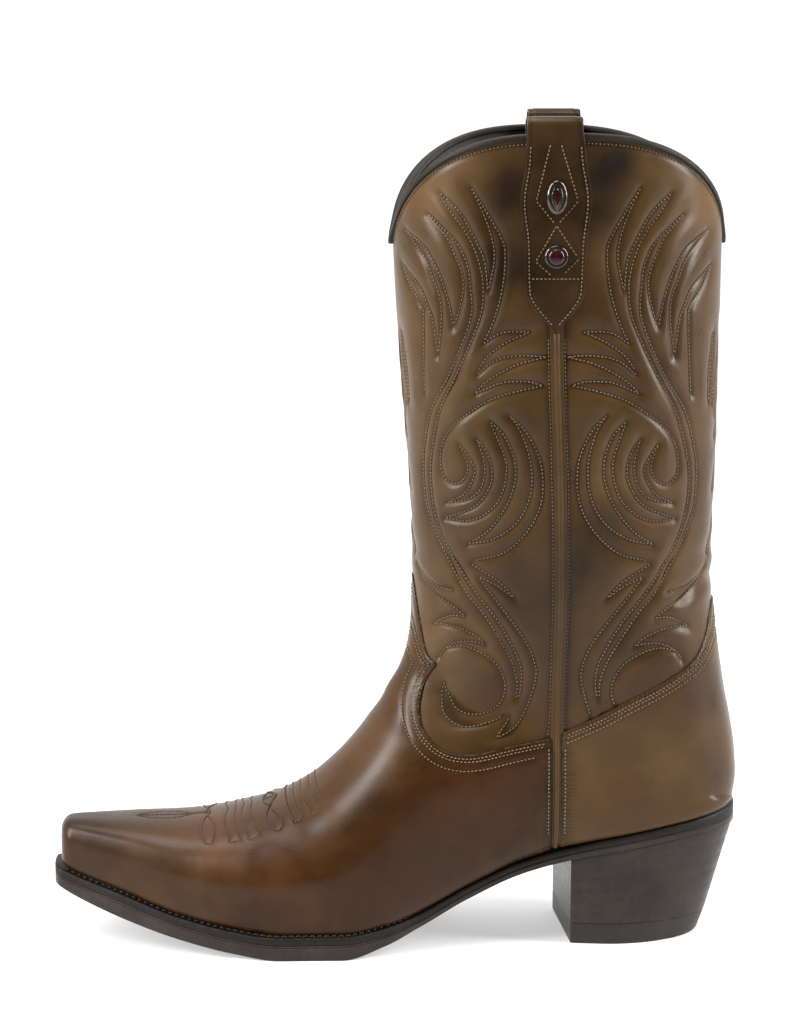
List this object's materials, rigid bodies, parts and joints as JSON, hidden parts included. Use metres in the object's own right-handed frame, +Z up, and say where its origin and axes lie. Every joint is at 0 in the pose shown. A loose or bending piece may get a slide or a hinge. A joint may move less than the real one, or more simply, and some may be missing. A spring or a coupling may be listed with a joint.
{
  "type": "western boot",
  "caption": "Left mid-calf western boot with snip toe, scalloped bound collar, stitched shaft, studded pull straps, welted leather sole and underslung stacked heel.",
  "frame": {"origin": "centre of the bounding box on the floor under the boot", "axes": "+Z up along the shaft, +X towards the heel, -X towards the toe, -Y towards the outer side of the foot"},
  "size_m": [0.2954, 0.1128, 0.3534],
  "materials": {
    "shaft_leather": "oiled pull-up leather, satin",
    "vamp_leather": "oiled pull-up leather, satin",
    "binding": "dark matt leather",
    "piping": "satin leather",
    "strap_leather": "satin leather",
    "stud_metal": "aged pewter",
    "insole": "matt leather",
    "welt": "black textured welt",
    "outsole": "dark satin sole leather",
    "heel": "dark stacked leather, satin",
    "heel_cap": "matt rubber"
  },
  "bodies": {
    "root": {"upper": "shaft_leather", "vamp": "vamp_leather", "counter": "vamp_leather", "collar_binding": "binding", "outer_piping": "piping", "inner_piping": "piping", "outer_strap": "strap_leather", "inner_strap": "strap_leather", "outer_oval_stud": "stud_metal", "inner_oval_stud": "stud_metal", "outer_round_stud": "stud_metal", "inner_round_stud": "stud_metal", "insole": "insole", "welt": "welt", "outsole": "outsole", "heel_stack": "heel", "heel_cap": "heel_cap"}
  },
  "joints": []
}
